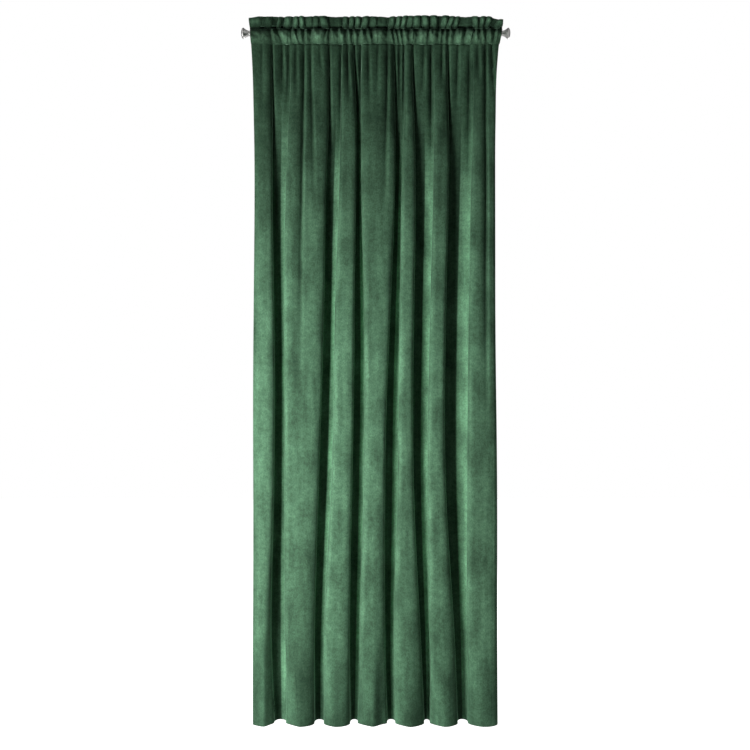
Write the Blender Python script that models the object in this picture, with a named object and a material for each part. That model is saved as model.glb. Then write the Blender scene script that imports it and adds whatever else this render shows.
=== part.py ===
"""Velvet curtain gathered on a telescopic curtain pole with trumpet finials and wall brackets.

The frame is +Z up with the wall at y = 0 and the room on the -Y side. The origin lies on the wall,
midway between the two wall plates, at the height of the pole's axis. Lengths are in metres.
"""

import math

import bmesh
import bpy
from mathutils import Matrix, Vector

# The pole and its telescopic tubes
POLE_TO_WALL = 0.080
POLE_CENTRE = Vector((0.0, -POLE_TO_WALL, 0.0))
TUBE_END = 0.453
OUTER_RADIUS = 0.008
OUTER_WALL = 0.001
OUTER_MOUTH = 0.150
INNER_RADIUS = 0.006
INNER_WALL = 0.0008
INNER_START = -0.320
BUSH_SLEEVE = 0.010
BUSH_FLANGE = 0.004
BUSH_FLANGE_RADIUS = 0.0088
GLIDE_LENGTH = 0.006

# The finials, as distances along the pole from its middle
SPIGOT_LENGTH = 0.030
COLLAR_END = 0.4725
RIM_X = 0.502
FINIAL_END = 0.511
NECK_RADIUS = 0.009
RIM_RADIUS = 0.021
SHELL = 0.0012
STUD_RADIUS = 0.003
STUD_END = 0.487

# The wall brackets
BRACKET_X = 0.436
CUP_WIDTH = 0.016
CUP_OUTER = 0.0138
CUP_INNER = 0.0113
CUP_LIP = 0.006
PLATE_SIZE = (0.026, 0.003, 0.070)
PLATE_HOLE = 0.0024
PLATE_HOLE_OFFSET = 0.025
ARM_RADIUS = 0.0045
ARM_FLANGE_RADIUS = 0.0095
ARM_DROP = 0.004
SCREW_RADIUS = 0.002
SCREW_HEAD_RADIUS = 0.0075
SCREW_HEAD_TOP = -0.0175
SCREW_HEAD_HEIGHT = 0.008
SCREW_FLUTES = 20

# The curtain, from the top of its frill to its hem
DROP_TO_HEM = 2.626
FRILL_TOP = 0.0735
UPPER_SEAM = 0.0185
LOWER_SEAM = -0.0395
HEM_HEIGHT = 0.080
SIDE_HEM = 0.025
CURTAIN_HALF = 0.466
HEADER_HALF = 0.478
BACK_LAYER_HALF = 0.405
CLOTH = 0.0025
HEM_CLOTH = 0.004
POCKET_BULGE = 0.018
FOLD_DEPTH = 0.046
SEAM_DEPTH = 0.005
FOLD_FORMS_BY = 0.45
BRACKET_CLEARANCE = 0.024
FRILL_GATHERS = 30
FRILL_RIPPLE = 0.010
# Where the folds turn along the pole, and how far each turn comes forward (-1) or goes back (+1)
FOLD_TURNS = (
    (-0.466, -0.5), (-0.415, -1.0), (-0.355, 1.0), (-0.287, -1.0), (-0.214, 1.0),
    (-0.147, -1.0), (-0.082, 1.0), (-0.011, -1.0), (0.060, 1.0), (0.130, -1.0),
    (0.195, 1.0), (0.259, -1.0), (0.331, 1.0), (0.408, -1.0), (0.466, -0.2),
)

GAP = 0.0003
ROUND_STEPS = 30


def clear_scene():
    for obj in list(bpy.data.objects):
        bpy.data.objects.remove(obj)


def make_material(name, colour, roughness, metallic=0.0):
    material = bpy.data.materials.new(name)
    material.use_nodes = True
    material.diffuse_color = (*colour, 1.0)
    shader = material.node_tree.nodes["Principled BSDF"]
    shader.inputs["Base Color"].default_value = (*colour, 1.0)
    shader.inputs["Roughness"].default_value = roughness
    shader.inputs["Metallic"].default_value = metallic
    return material


def empty_at(name, location):
    empty = bpy.data.objects.new(name, None)
    empty.location = location
    bpy.context.scene.collection.objects.link(empty)
    return empty


def add_object(name, bm, material, parent, smooth=True):
    """Turns a bmesh built in the parent's frame into a named object with its faces out."""
    bmesh.ops.recalc_face_normals(bm, faces=bm.faces)
    mesh = bpy.data.meshes.new(name)
    bm.to_mesh(mesh)
    bm.free()
    mesh.materials.append(material)
    if smooth:
        mesh.shade_smooth()
        mesh.set_sharp_from_angle(angle=math.radians(35))
    obj = bpy.data.objects.new(name, mesh)
    bpy.context.scene.collection.objects.link(obj)
    obj.parent = parent
    return obj


def turned(profile, axis):
    """Spins a closed (along, radius) outline once round an axis through the origin."""
    bm = bmesh.new()
    across = Vector((0, 0, 1)) if axis != Vector((0, 0, 1)) else Vector((1, 0, 0))
    points = [bm.verts.new(axis * along + across * radius) for along, radius in profile]
    edges = []
    for here, there in zip(points, points[1:] + points[:1]):
        if not (on_axis(here, axis) and on_axis(there, axis)):
            edges.append(bm.edges.new((here, there)))
    bmesh.ops.spin(
        bm, geom=points + edges, cent=(0, 0, 0), axis=axis, angle=math.tau,
        steps=ROUND_STEPS, use_merge=True,
    )
    bmesh.ops.remove_doubles(bm, verts=bm.verts, dist=1e-6)
    return bm


def on_axis(vert, axis):
    return (vert.co - axis * vert.co.dot(axis)).length < 1e-9


def tube_outline(start, end, outer, inner):
    return [(start, outer), (end, outer), (end, inner), (start, inner)]


def arc(centre, radius, first, last, steps):
    """Points on a circle from one angle to another, in degrees."""
    angles = [math.radians(first + (last - first) * i / steps) for i in range(steps + 1)]
    return [(centre[0] + radius * math.cos(a), centre[1] + radius * math.sin(a)) for a in angles]


def ease(value, low, high):
    t = min(1.0, max(0.0, (value - low) / (high - low)))
    return t * t * (3 - 2 * t)


# ---- brackets -----------------------------------------------------------------------------

def wall_plate(name, side, material, parent):
    width, thick, height = PLATE_SIZE
    bm = bmesh.new()
    place = Matrix.Translation((side * BRACKET_X, -thick / 2, -ARM_DROP))
    bmesh.ops.create_cube(bm, size=1.0, matrix=place @ Matrix.Diagonal((width, thick, height, 1)))
    upright = [e for e in bm.edges if abs(e.verts[0].co.y - e.verts[1].co.y) > thick / 2]
    bmesh.ops.bevel(bm, geom=upright, offset=width * 0.3, segments=5, affect="EDGES")
    plate = add_object(name, bm, material, parent)
    for end in (-1, 1):
        cutter_bm = bmesh.new()
        place = Matrix.Translation((side * BRACKET_X, -thick / 2, -ARM_DROP + end * PLATE_HOLE_OFFSET))
        bmesh.ops.create_cone(
            cutter_bm, cap_ends=True, segments=24, radius1=PLATE_HOLE, radius2=PLATE_HOLE * 1.9,
            depth=thick * 1.4, matrix=place @ Matrix.Rotation(math.radians(90), 4, "X"),
        )
        label = "upper" if end > 0 else "lower"
        cutter = add_object(f"{name}_{label}_hole", cutter_bm, material, parent)
        cutter.hide_render = True
        cutter.display_type = "WIRE"
        hole = plate.modifiers.new(f"{label} hole", "BOOLEAN")
        hole.operation = "DIFFERENCE"
        hole.object = cutter
    return plate


def bracket_arm(name, side, material, parent):
    """A turned arm with a flange on the plate, from the wall plate to the back of the cup."""
    root = -PLATE_SIZE[1] - GAP
    tip = -POLE_TO_WALL + CUP_OUTER + GAP
    outline = [
        (root, 0.0), (root, ARM_FLANGE_RADIUS), (root - 0.0025, ARM_FLANGE_RADIUS),
        (root - 0.0045, ARM_RADIUS * 1.3), (root - 0.009, ARM_RADIUS),
        (tip + 0.006, ARM_RADIUS), (tip + 0.003, ARM_RADIUS * 1.25), (tip, ARM_RADIUS * 1.25),
        (tip, 0.0),
    ]
    bm = turned(outline, Vector((0, 1, 0)))
    bmesh.ops.translate(bm, verts=bm.verts, vec=(side * BRACKET_X, 0, -ARM_DROP))
    return add_object(name, bm, material, parent)


def trough(name, side, inner, outer, lip, width, material, parent):
    """A U-shaped trough round the pole, open at the top, with a hole for the clamping screw."""
    outline = [(-outer, lip)] + arc((0, 0), outer, 180, 360, 20) + [(outer, lip)]
    outline += [(inner, lip)] + arc((0, 0), inner, 360, 180, 20) + [(-inner, lip)]
    bm = bmesh.new()
    x = side * BRACKET_X - width / 2
    points = [bm.verts.new((x, POLE_CENTRE.y + y, z)) for y, z in outline]
    face = bm.faces.new(points)
    grown = bmesh.ops.extrude_face_region(bm, geom=[face])
    moved = [v for v in grown["geom"] if isinstance(v, bmesh.types.BMVert)]
    bmesh.ops.translate(bm, verts=moved, vec=(width, 0, 0))
    holder = add_object(name, bm, material, parent)
    cutter_bm = bmesh.new()
    bmesh.ops.create_cone(
        cutter_bm, cap_ends=True, segments=20, radius1=SCREW_RADIUS + GAP,
        radius2=SCREW_RADIUS + GAP, depth=outer - inner + 0.008,
        matrix=Matrix.Translation((side * BRACKET_X, POLE_CENTRE.y, -(outer + inner) / 2)),
    )
    cutter = add_object(f"{name}_screw_hole", cutter_bm, material, parent)
    cutter.hide_render = True
    cutter.display_type = "WIRE"
    hole = holder.modifiers.new("screw hole", "BOOLEAN")
    hole.operation = "DIFFERENCE"
    hole.object = cutter
    return holder


def thumbscrew(name, pole_radius, material, parent):
    """A fluted head under the cup, on a shank that stops just below the pole."""
    tip = -pole_radius - 2 * GAP
    bottom = SCREW_HEAD_TOP - SCREW_HEAD_HEIGHT
    bm = bmesh.new()
    rings = []
    levels = (
        (bottom, 0.80), (bottom + 0.001, 1.0), (SCREW_HEAD_TOP - 0.001, 1.0), (SCREW_HEAD_TOP, 0.80),
    )
    count = SCREW_FLUTES * 2
    for z, share in levels:
        ring = []
        for i in range(count):
            radius = SCREW_HEAD_RADIUS * share * (1.0 if i % 2 else 0.90)
            angle = math.tau * i / count
            ring.append(bm.verts.new((radius * math.cos(angle), radius * math.sin(angle), z)))
        rings.append(ring)
    for z in (SCREW_HEAD_TOP, tip):
        ring = []
        for i in range(count):
            angle = math.tau * i / count
            ring.append(bm.verts.new((SCREW_RADIUS * math.cos(angle), SCREW_RADIUS * math.sin(angle), z)))
        rings.append(ring)
    for low, high in zip(rings, rings[1:]):
        for i in range(count):
            j = (i + 1) % count
            bm.faces.new((low[i], low[j], high[j], high[i]))
    bm.faces.new(rings[0][::-1])
    bm.faces.new(rings[-1])
    return add_object(name, bm, material, parent)


# ---- pole and finials ---------------------------------------------------------------------

def outer_tube(material, parent):
    outline = tube_outline(-TUBE_END, OUTER_MOUTH, OUTER_RADIUS, OUTER_RADIUS - OUTER_WALL)
    return add_object("outer_tube", turned(outline, Vector((1, 0, 0))), material, parent)


def inner_tube(material, parent):
    outline = tube_outline(INNER_START, TUBE_END, INNER_RADIUS, INNER_RADIUS - INNER_WALL)
    return add_object("inner_tube", turned(outline, Vector((1, 0, 0))), material, parent)


def mouth_bush(material, parent):
    """A nylon sleeve inside the outer tube's mouth, with a flange against its end."""
    bore = INNER_RADIUS + GAP
    sleeve = OUTER_RADIUS - OUTER_WALL - GAP
    outline = [
        (OUTER_MOUTH - BUSH_SLEEVE, sleeve), (OUTER_MOUTH + GAP, sleeve),
        (OUTER_MOUTH + GAP, BUSH_FLANGE_RADIUS), (OUTER_MOUTH + BUSH_FLANGE - 0.001, BUSH_FLANGE_RADIUS),
        (OUTER_MOUTH + BUSH_FLANGE, BUSH_FLANGE_RADIUS - 0.001), (OUTER_MOUTH + BUSH_FLANGE, bore),
        (OUTER_MOUTH - BUSH_SLEEVE, bore),
    ]
    return add_object("mouth_bush", turned(outline, Vector((1, 0, 0))), material, parent)


def tail_glide(material, parent):
    """A nylon ring on the hidden end of the inner tube, which runs inside the outer tube."""
    start = INNER_START - GAP - GLIDE_LENGTH
    outer = OUTER_RADIUS - OUTER_WALL - GAP
    outline = tube_outline(start, INNER_START - GAP, outer, INNER_RADIUS - INNER_WALL - 0.001)
    return add_object("tail_glide", turned(outline, Vector((1, 0, 0))), material, parent)


def flip(outline, side):
    return [(side * along, radius) for along, radius in outline]


def finial_spigot(name, side, bore, material, parent):
    """The plug that pushes into the tube's end, with a threaded hole for the stud."""
    start = TUBE_END - SPIGOT_LENGTH
    end = TUBE_END + 0.0015
    radius = bore - GAP
    hole = STUD_RADIUS + GAP
    outline = [
        (start, 0.0), (start, radius - 0.001), (start + 0.001, radius), (end, radius),
        (end, hole), (start + 0.012, hole), (start + 0.012, 0.0),
    ]
    return add_object(name, turned(flip(outline, side), Vector((1, 0, 0))), material, parent)


def finial_stud(name, side, material, parent):
    start = TUBE_END - SPIGOT_LENGTH + 0.012 + GAP
    outline = [
        (start, 0.0), (start, STUD_RADIUS), (STUD_END - 0.001, STUD_RADIUS),
        (STUD_END, STUD_RADIUS - 0.001), (STUD_END, 0.0),
    ]
    return add_object(name, turned(flip(outline, side), Vector((1, 0, 0))), material, parent)


def finial_collar(name, side, material, parent):
    start = TUBE_END + 0.0015 + GAP
    hole = STUD_RADIUS + GAP
    outline = [
        (start, NECK_RADIUS - 0.0008), (start + 0.0008, NECK_RADIUS), (COLLAR_END - 0.0008, NECK_RADIUS),
        (COLLAR_END, NECK_RADIUS - 0.0008), (COLLAR_END, hole), (start, hole),
    ]
    return add_object(name, turned(flip(outline, side), Vector((1, 0, 0))), material, parent)


def flare_radius(share):
    """The trumpet's outer radius, from its neck at 0 to its rim at 1."""
    return NECK_RADIUS + (RIM_RADIUS - NECK_RADIUS) * share**2.3


def finial_flare(name, side, material, parent):
    """The trumpet: a thin shell on a short drilled boss."""
    start = COLLAR_END + GAP
    boss = start + 0.009
    hole = STUD_RADIUS + GAP
    steps = 7
    outer = []
    for i in range(steps + 1):
        outer.append((start + (RIM_X - start) * i / steps, flare_radius(i / steps)))
    inner = [(x, r - SHELL) for x, r in outer if x > boss]
    outline = outer + inner[::-1] + [(boss, hole), (start, hole)]
    return add_object(name, turned(flip(outline, side), Vector((1, 0, 0))), material, parent)


def finial_dome(name, side, material, parent):
    """The pressed cap that closes the trumpet: a shallow dome, open towards the trumpet."""
    start = RIM_X + GAP
    height = FINIAL_END - start
    steps = 6
    outer = []
    for i in range(steps + 1):
        angle = math.radians(90 * i / steps)
        outer.append((start + height * math.sin(angle), (RIM_RADIUS - 0.0002) * math.cos(angle)))
    inner = []
    for i in range(steps + 1):
        angle = math.radians(90 * i / steps)
        inner.append((start + (height - SHELL) * math.sin(angle), (RIM_RADIUS - SHELL) * math.cos(angle)))
    outer[-1] = (FINIAL_END, 0.0)
    inner[-1] = (FINIAL_END - SHELL, 0.0)
    return add_object(name, turned(flip(outer + inner[::-1], side), Vector((1, 0, 0))), material, parent)


# ---- curtain ------------------------------------------------------------------------------

def fold_wave(x):
    """-1 where a fold comes forward, +1 where it goes back, and a cosine in between."""
    for (x0, w0), (x1, w1) in zip(FOLD_TURNS, FOLD_TURNS[1:]):
        if x <= x1:
            break
    t = min(1.0, max(0.0, (x - x0) / (x1 - x0)))
    return w0 + (w1 - w0) * (1 - math.cos(math.pi * t)) / 2


def clears_bracket(x):
    """How far the cloth stands forward at the ends, where it hangs in front of a bracket."""
    return BRACKET_CLEARANCE * ease(abs(x), 0.36, 0.41)


def drop_surface(x, z):
    formed = ease(-z, -LOWER_SEAM, FOLD_FORMS_BY)
    depth = SEAM_DEPTH + (FOLD_DEPTH - SEAM_DEPTH) * formed
    forward = clears_bracket(x) * (1 - formed)
    return POLE_CENTRE.y - forward + depth * fold_wave(x)


def cloth_sheet(name, x_range, rows, columns, surface, thickness, material, parent):
    """A sheet on a grid of (x, row) whose points come from surface(x, row), then thickened."""
    bm = bmesh.new()
    bmesh.ops.create_grid(bm, x_segments=columns, y_segments=len(rows) - 1, size=0.5)
    for vert in bm.verts:
        x = x_range[0] + (vert.co.x + 0.5) * (x_range[1] - x_range[0])
        row = rows[round((vert.co.y + 0.5) * (len(rows) - 1))]
        y, z = surface(x, row)
        vert.co = (x, y, z)
    sheet = add_object(name, bm, material, parent)
    solid = sheet.modifiers.new("cloth thickness", "SOLIDIFY")
    solid.thickness = thickness
    solid.offset = 0.0
    return sheet


def hanging(x, z):
    return drop_surface(x, z), z


def curtain_drop(material, parent):
    hem_top = -DROP_TO_HEM + HEM_HEIGHT + GAP
    rows = [LOWER_SEAM - 0.0005, -0.10, -0.18, -0.28, -FOLD_FORMS_BY, hem_top]
    edge = CURTAIN_HALF - SIDE_HEM - 0.001
    cloth_sheet("curtain_drop", (-edge, edge), rows, 88, hanging, CLOTH, material, parent)


def side_hem(name, side, foot, material, parent):
    rows = [LOWER_SEAM - 0.0005, -0.10, -0.18, -0.28, -FOLD_FORMS_BY, foot]
    ends = sorted((side * (CURTAIN_HALF - SIDE_HEM), side * CURTAIN_HALF))
    cloth_sheet(name, ends, rows, 5, hanging, HEM_CLOTH, material, parent)


def bottom_hem(material, parent):
    rows = [-DROP_TO_HEM + HEM_HEIGHT - GAP, -DROP_TO_HEM]
    edge = CURTAIN_HALF - SIDE_HEM - 0.001
    cloth_sheet("bottom_hem", (-CURTAIN_HALF, edge), rows, 92, hanging, HEM_CLOTH, material, parent)


def pocket_surface(x, share, layer):
    """One layer of the pocket, from the upper seam (0) to the lower seam (1)."""
    top = UPPER_SEAM - 0.0015
    bottom = LOWER_SEAM + 0.0025
    front = layer < 0
    low_y = POLE_CENTRE.y - (clears_bracket(x) if front else 0.0)
    seam_y = POLE_CENTRE.y + (low_y - POLE_CENTRE.y) * share + layer * (CLOTH / 2 + GAP)
    return seam_y + layer * POCKET_BULGE * math.sin(math.pi * share), top + (bottom - top) * share


def rod_pocket_front(material, parent):
    rows = [i / 6 for i in range(7)]
    cloth_sheet(
        "rod_pocket_front", (-HEADER_HALF, HEADER_HALF), rows, 36,
        lambda x, share: pocket_surface(x, share, -1), CLOTH, material, parent,
    )


def rod_pocket_back(material, parent):
    rows = [i / 6 for i in range(7)]
    cloth_sheet(
        "rod_pocket_back", (-BACK_LAYER_HALF, BACK_LAYER_HALF), rows, 24,
        lambda x, share: pocket_surface(x, share, 1), CLOTH, material, parent,
    )


def frill_surface(x, z):
    share = (z - UPPER_SEAM) / (FRILL_TOP - UPPER_SEAM)
    ripple = FRILL_RIPPLE * (0.3 + 0.7 * share)
    turns = FRILL_GATHERS * (x + HEADER_HALF) / (2 * HEADER_HALF)
    return POLE_CENTRE.y + ripple * math.cos(math.tau * turns), z


def header_frill(material, parent):
    rows = [UPPER_SEAM + 0.001, (UPPER_SEAM + FRILL_TOP) / 2, FRILL_TOP]
    cloth_sheet(
        "header_frill", (-HEADER_HALF, HEADER_HALF), rows, FRILL_GATHERS * 4,
        frill_surface, CLOTH, material, parent,
    )


# ---- assembly -----------------------------------------------------------------------------

def build_brackets(nickel, nylon):
    wall = empty_at("brackets", (0, 0, 0))
    for label, side, tube in (("left", -1, OUTER_RADIUS), ("right", 1, INNER_RADIUS)):
        wall_plate(f"wall_plate_{label}", side, nickel, wall)
        bracket_arm(f"bracket_arm_{label}", side, nickel, wall)
        trough(f"bracket_cup_{label}", side, CUP_INNER, CUP_OUTER, CUP_LIP, CUP_WIDTH, nickel, wall)
        trough(
            f"cup_liner_{label}", side, tube + GAP, CUP_INNER - GAP, CUP_LIP - 0.002,
            CUP_WIDTH - 0.001, nylon, wall,
        )
        turn = empty_at(f"thumbscrew_turn_{label}", (side * BRACKET_X, POLE_CENTRE.y, 0))
        thumbscrew(f"thumbscrew_{label}", tube, nickel, turn)


def build_pole(nickel, nylon):
    pole = empty_at("pole", POLE_CENTRE)
    outer_tube(nickel, pole)
    mouth_bush(nylon, pole)
    slide = empty_at("pole_extension", POLE_CENTRE)
    inner_tube(nickel, slide)
    tail_glide(nylon, slide)
    bores = {"left": OUTER_RADIUS - OUTER_WALL, "right": INNER_RADIUS - INNER_WALL}
    for label, side in (("left", -1), ("right", 1)):
        holder = empty_at(f"finial_{label}", POLE_CENTRE)
        finial_spigot(f"finial_spigot_{label}", side, bores[label], nylon, holder)
        finial_stud(f"finial_stud_{label}", side, nickel, holder)
        finial_collar(f"finial_collar_{label}", side, nickel, holder)
        finial_flare(f"finial_flare_{label}", side, nickel, holder)
        finial_dome(f"finial_dome_{label}", side, nickel, holder)


def build_curtain(velvet):
    curtain = empty_at("curtain", (0, 0, 0))
    header_frill(velvet, curtain)
    rod_pocket_front(velvet, curtain)
    rod_pocket_back(velvet, curtain)
    curtain_drop(velvet, curtain)
    bottom_hem(velvet, curtain)
    side_hem("side_hem_left", -1, -DROP_TO_HEM + HEM_HEIGHT + 3 * GAP, velvet, curtain)
    leading_edge = empty_at("leading_edge", (0, 0, 0))
    side_hem("side_hem_right", 1, -DROP_TO_HEM, velvet, leading_edge)


def main():
    clear_scene()
    velvet = make_material("green velvet", (0.035, 0.115, 0.055), 0.85)
    nickel = make_material("polished nickel", (0.62, 0.60, 0.58), 0.16, 1.0)
    nylon = make_material("white nylon", (0.80, 0.80, 0.78), 0.45)
    build_brackets(nickel, nylon)
    build_pole(nickel, nylon)
    build_curtain(velvet)
    bpy.context.view_layer.update()


main()
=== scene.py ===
import math

import bmesh
import bpy
import numpy as np
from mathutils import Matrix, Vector


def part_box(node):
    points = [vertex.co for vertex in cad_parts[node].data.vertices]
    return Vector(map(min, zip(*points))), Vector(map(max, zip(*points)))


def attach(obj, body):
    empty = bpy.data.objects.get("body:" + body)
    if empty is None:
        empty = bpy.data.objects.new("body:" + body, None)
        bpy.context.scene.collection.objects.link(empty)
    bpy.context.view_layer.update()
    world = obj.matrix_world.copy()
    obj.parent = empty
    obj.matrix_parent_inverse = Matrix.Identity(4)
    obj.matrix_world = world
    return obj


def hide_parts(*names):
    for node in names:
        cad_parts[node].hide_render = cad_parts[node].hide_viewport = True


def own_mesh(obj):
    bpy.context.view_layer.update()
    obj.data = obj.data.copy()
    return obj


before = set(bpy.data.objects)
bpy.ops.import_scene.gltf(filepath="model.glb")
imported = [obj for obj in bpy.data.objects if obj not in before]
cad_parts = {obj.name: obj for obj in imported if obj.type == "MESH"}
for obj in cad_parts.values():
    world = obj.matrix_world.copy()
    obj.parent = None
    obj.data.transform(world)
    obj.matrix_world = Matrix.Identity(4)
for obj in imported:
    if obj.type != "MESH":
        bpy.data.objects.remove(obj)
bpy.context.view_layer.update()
print("frame loaded:", len(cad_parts), "pieces of the plain model")

# Where the hardware leaves the cloth to hang, read from the plain model
poleLow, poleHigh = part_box("outer_tube")
poleY = (poleLow.y + poleHigh.y) / 2
poleRadius = (poleHigh.z - poleLow.z) / 2
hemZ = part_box("bottom_hem")[0].z + 0.0075       # the pile's weight lifts the front edge a little
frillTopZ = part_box("header_frill")[1].z - 0.012
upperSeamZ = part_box("header_frill")[0].z - 0.0025
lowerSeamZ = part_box("curtain_drop")[1].z
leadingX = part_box("side_hem_right")[0].x       # where the leading side hem starts
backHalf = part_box("rod_pocket_back")[1].x

panel = {
    "columnsPerTurn": 28,
    "rows": 130,
    "topCrowding": 0.60,       # rows stand closer together under the pocket
    "thickness": 0.0014,
    "hemDepth": 0.080,
    "sideHem": 0.025,
    "layerGap": 0.0034,        # from the face to the turned hem's outer side
    "backSquare": 0.52,        # how square the recesses are
    "recessDark": 0.46,        # painted shade: how much darker the colour is on the shaded side of a recess
    "recessLight": 1.50,       # painted light: how much lighter on the other side
    "rim": 0.22,               # a painted highlight along each fold's left edge
    "overhangLeft": 0.015,     # each fold is a little wider at its front than at its root
    "overhangRight": 0.006,
    "bracketClearance": 0.022, # the cloth stands forward of the cups at both ends
    "behindPole": 0.003,       # the folds hang about a line this far in front of the pole's middle
    "leftEdgeReach": 0.40,     # how far forward the two side edges stand, against a full fold
    "rightEdgeReach": 0.15,
    "hemEases": 0.40,          # the folds open out over this height above the hem, by so much:
    "hemOpensBack": 0.35,
    "hemOpensRight": 0.20,
    "hemOpensLeft": 0.55,
    "hemLosesOverhang": 0.70,
    "pileLow": 0.25,           # the painted shade in the gathers never takes the colour below this
}

# How far the folds stand forward and back of the pole, from the seam down to the hem
foldLevels = [lowerSeamZ, -0.25, -0.63, -0.97, -1.69, -2.37, hemZ]
foldReach = [0.004, 0.014, 0.028, 0.036, 0.040, 0.042, 0.043]

# Seven full folds. Each row is one side of a fold, from left to right, at the levels above:
# a right-hand side turns back to a recess, a left-hand side comes forward again.
foldSides = [
    (-0.394, -0.393, -0.391, -0.388, -0.385, -0.396, -0.385),
    (-0.318, -0.326, -0.337, -0.343, -0.338, -0.338, -0.340),
    (-0.181, -0.178, -0.189, -0.195, -0.216, -0.233, -0.233),
    (-0.126, -0.131, -0.135, -0.147, -0.162, -0.194, -0.198),
    (-0.086, -0.077, -0.075, -0.081, -0.090, -0.099, -0.097),
    (-0.053, -0.055, -0.051, -0.041, -0.040, -0.058, -0.068),
    (0.069, 0.074, 0.070, 0.058, 0.034, 0.037, 0.044),
    (0.111, 0.112, 0.099, 0.097, 0.088, 0.073, 0.074),
    (0.139, 0.145, 0.150, 0.145, 0.142, 0.174, 0.184),
    (0.221, 0.223, 0.220, 0.212, 0.201, 0.207, 0.205),
    (0.273, 0.277, 0.275, 0.266, 0.263, 0.302, 0.311),
    (0.368, 0.370, 0.362, 0.358, 0.350, 0.349, 0.349),
]
# How square each side's front corner is (1 is round, smaller is squarer), down the same levels
cornerShape = [
    (0.80, 0.75, 0.68, 0.62, 0.60, 0.95, 1.00),
    (0.80, 0.66, 0.58, 0.55, 0.55, 0.62, 1.35),
    (0.85, 0.80, 0.72, 0.66, 0.68, 0.92, 0.85),
    (0.80, 0.66, 0.60, 0.56, 0.56, 0.60, 0.75),
    (0.80, 0.70, 0.62, 0.60, 0.60, 0.66, 0.85),
    (0.80, 0.66, 0.58, 0.55, 0.55, 0.60, 1.20),
    (0.80, 0.70, 0.62, 0.60, 0.68, 1.05, 1.10),
    (0.80, 0.66, 0.58, 0.55, 0.55, 0.58, 1.05),
    (0.90, 0.85, 0.78, 0.74, 0.72, 1.00, 1.15),
    (0.80, 0.66, 0.58, 0.56, 0.56, 0.62, 1.15),
    (0.80, 0.70, 0.66, 0.62, 0.64, 1.05, 0.80),
    (0.80, 0.75, 0.64, 0.58, 0.56, 0.56, 0.75),
]
# Gathers: place at the seam, place where it runs out, height where it runs out, how deep
gathers = [
    (-0.430, -0.436, -0.42, 0.35),
    (-0.394, -0.392, -0.60, 1.00),
    (-0.356, -0.358, -0.28, 0.95),
    (-0.332, -0.338, -0.34, 0.90),
    (-0.304, -0.306, -0.30, 0.80),
    (-0.274, -0.291, -1.50, 1.15),
    (-0.248, -0.232, -0.75, 0.90),
    (-0.214, -0.206, -0.20, 0.50),
    (-0.178, -0.180, -0.55, 1.00),
    (-0.134, -0.140, -0.60, 0.90),
    (-0.108, -0.104, -0.32, 1.00),
    (-0.082, -0.072, -0.42, 1.10),
    (-0.058, -0.064, -0.38, 1.00),
    (-0.028, -0.026, -0.36, 0.80),
    (0.008, 0.000, -0.30, 0.60),
    (0.044, 0.030, -0.80, 0.85),
    (0.070, 0.076, -0.55, 1.10),
    (0.090, 0.084, -0.36, 0.90),
    (0.107, 0.101, -0.46, 1.00),
    (0.140, 0.150, -0.50, 0.95),
    (0.183, 0.176, -0.30, 0.60),
    (0.210, 0.212, -0.62, 1.05),
    (0.252, 0.250, -0.24, 0.90),
    (0.274, 0.278, -0.55, 1.10),
    (0.312, 0.306, -0.40, 0.70),
    (0.356, 0.352, -0.70, 0.85),
    (0.386, 0.384, -0.22, 0.85),
    (0.414, 0.414, -1.75, 0.95),
    (0.440, 0.444, -0.30, 0.80),
]
gatherShape = {
    "depth": 0.019,
    "left": 0.019,             # the long side of a gather's valley
    "right": 0.0075,           # and its short side
    "pinch": 0.65,             # how strongly the cloth beside it is drawn in
    "atSeam": 0.40,            # its depth at the seam, against its depth once it is grown
    "grownBelow": 0.045,
    "fadesFrom": 0.25,         # it starts to fade this far along its length
    "spreads": 0.9,            # and widens by this much by its end
    "darker": 0.55,            # painted shade in the valley
    "rim": 0.40,               # painted highlight beside it
    "rimWidth": 0.0032,
}

# Soft dents low in the folds: place, top, foot, width, depth
dents = [
    (-0.398, -2.05, -2.70, 0.026, 0.014),
    (0.022, -2.15, -2.75, 0.030, 0.010),
    (0.300, -2.40, -2.80, 0.030, 0.004),
]


# Patches where the colour is darkened: place, height, half width, half height, how dark
darkenedPatches = [
    (-0.295, -1.90, 0.050, 0.85, 0.26),
    (-0.290, -2.55, 0.055, 0.25, 0.12),
    (0.365, -1.58, 0.070, 0.26, 0.10),
    (0.360, -1.20, 0.120, 0.70, 0.20),
    (-0.030, -2.55, 0.300, 0.14, 0.08),
]


def ease(value, low, high):
    t = np.clip((np.asarray(value, float) - low) / (high - low), 0.0, 1.0)
    return t * t * (3 - 2 * t)


def throughLevels(levels, values, z):
    # a soft curve through values set at a few heights, listed from the top down
    levels = -np.asarray(levels, float)
    values = np.asarray(values, float)
    slopes = np.gradient(values, levels)
    q = np.clip(-np.asarray(z, float), levels[0], levels[-1])
    i = np.clip(np.searchsorted(levels, q, side="right") - 1, 0, len(levels) - 2)
    gap = levels[i + 1] - levels[i]
    t = (q - levels[i]) / gap
    blend = (2 * t**3 - 3 * t**2 + 1) * values[i] + (3 * t**2 - 2 * t**3) * values[i + 1]
    return blend + (t**3 - 2 * t**2 + t) * gap * slopes[i] + (t**3 - t**2) * gap * slopes[i + 1]


def unevenness(along, down, scaleAlong, scaleDown, seed, waves=7):
    # a few crossed waves with settled phases
    draw = np.random.default_rng(seed)
    total = np.zeros(np.broadcast(along, down).shape)
    for _ in range(waves):
        a, b = draw.uniform(0.4, 1.6, 2)
        phaseA, phaseB = draw.uniform(0, math.tau, 2)
        total = total + np.sin(along * scaleAlong * a + phaseA) * np.sin(down * scaleDown * b + phaseB)
    return total / math.sqrt(waves)


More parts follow.
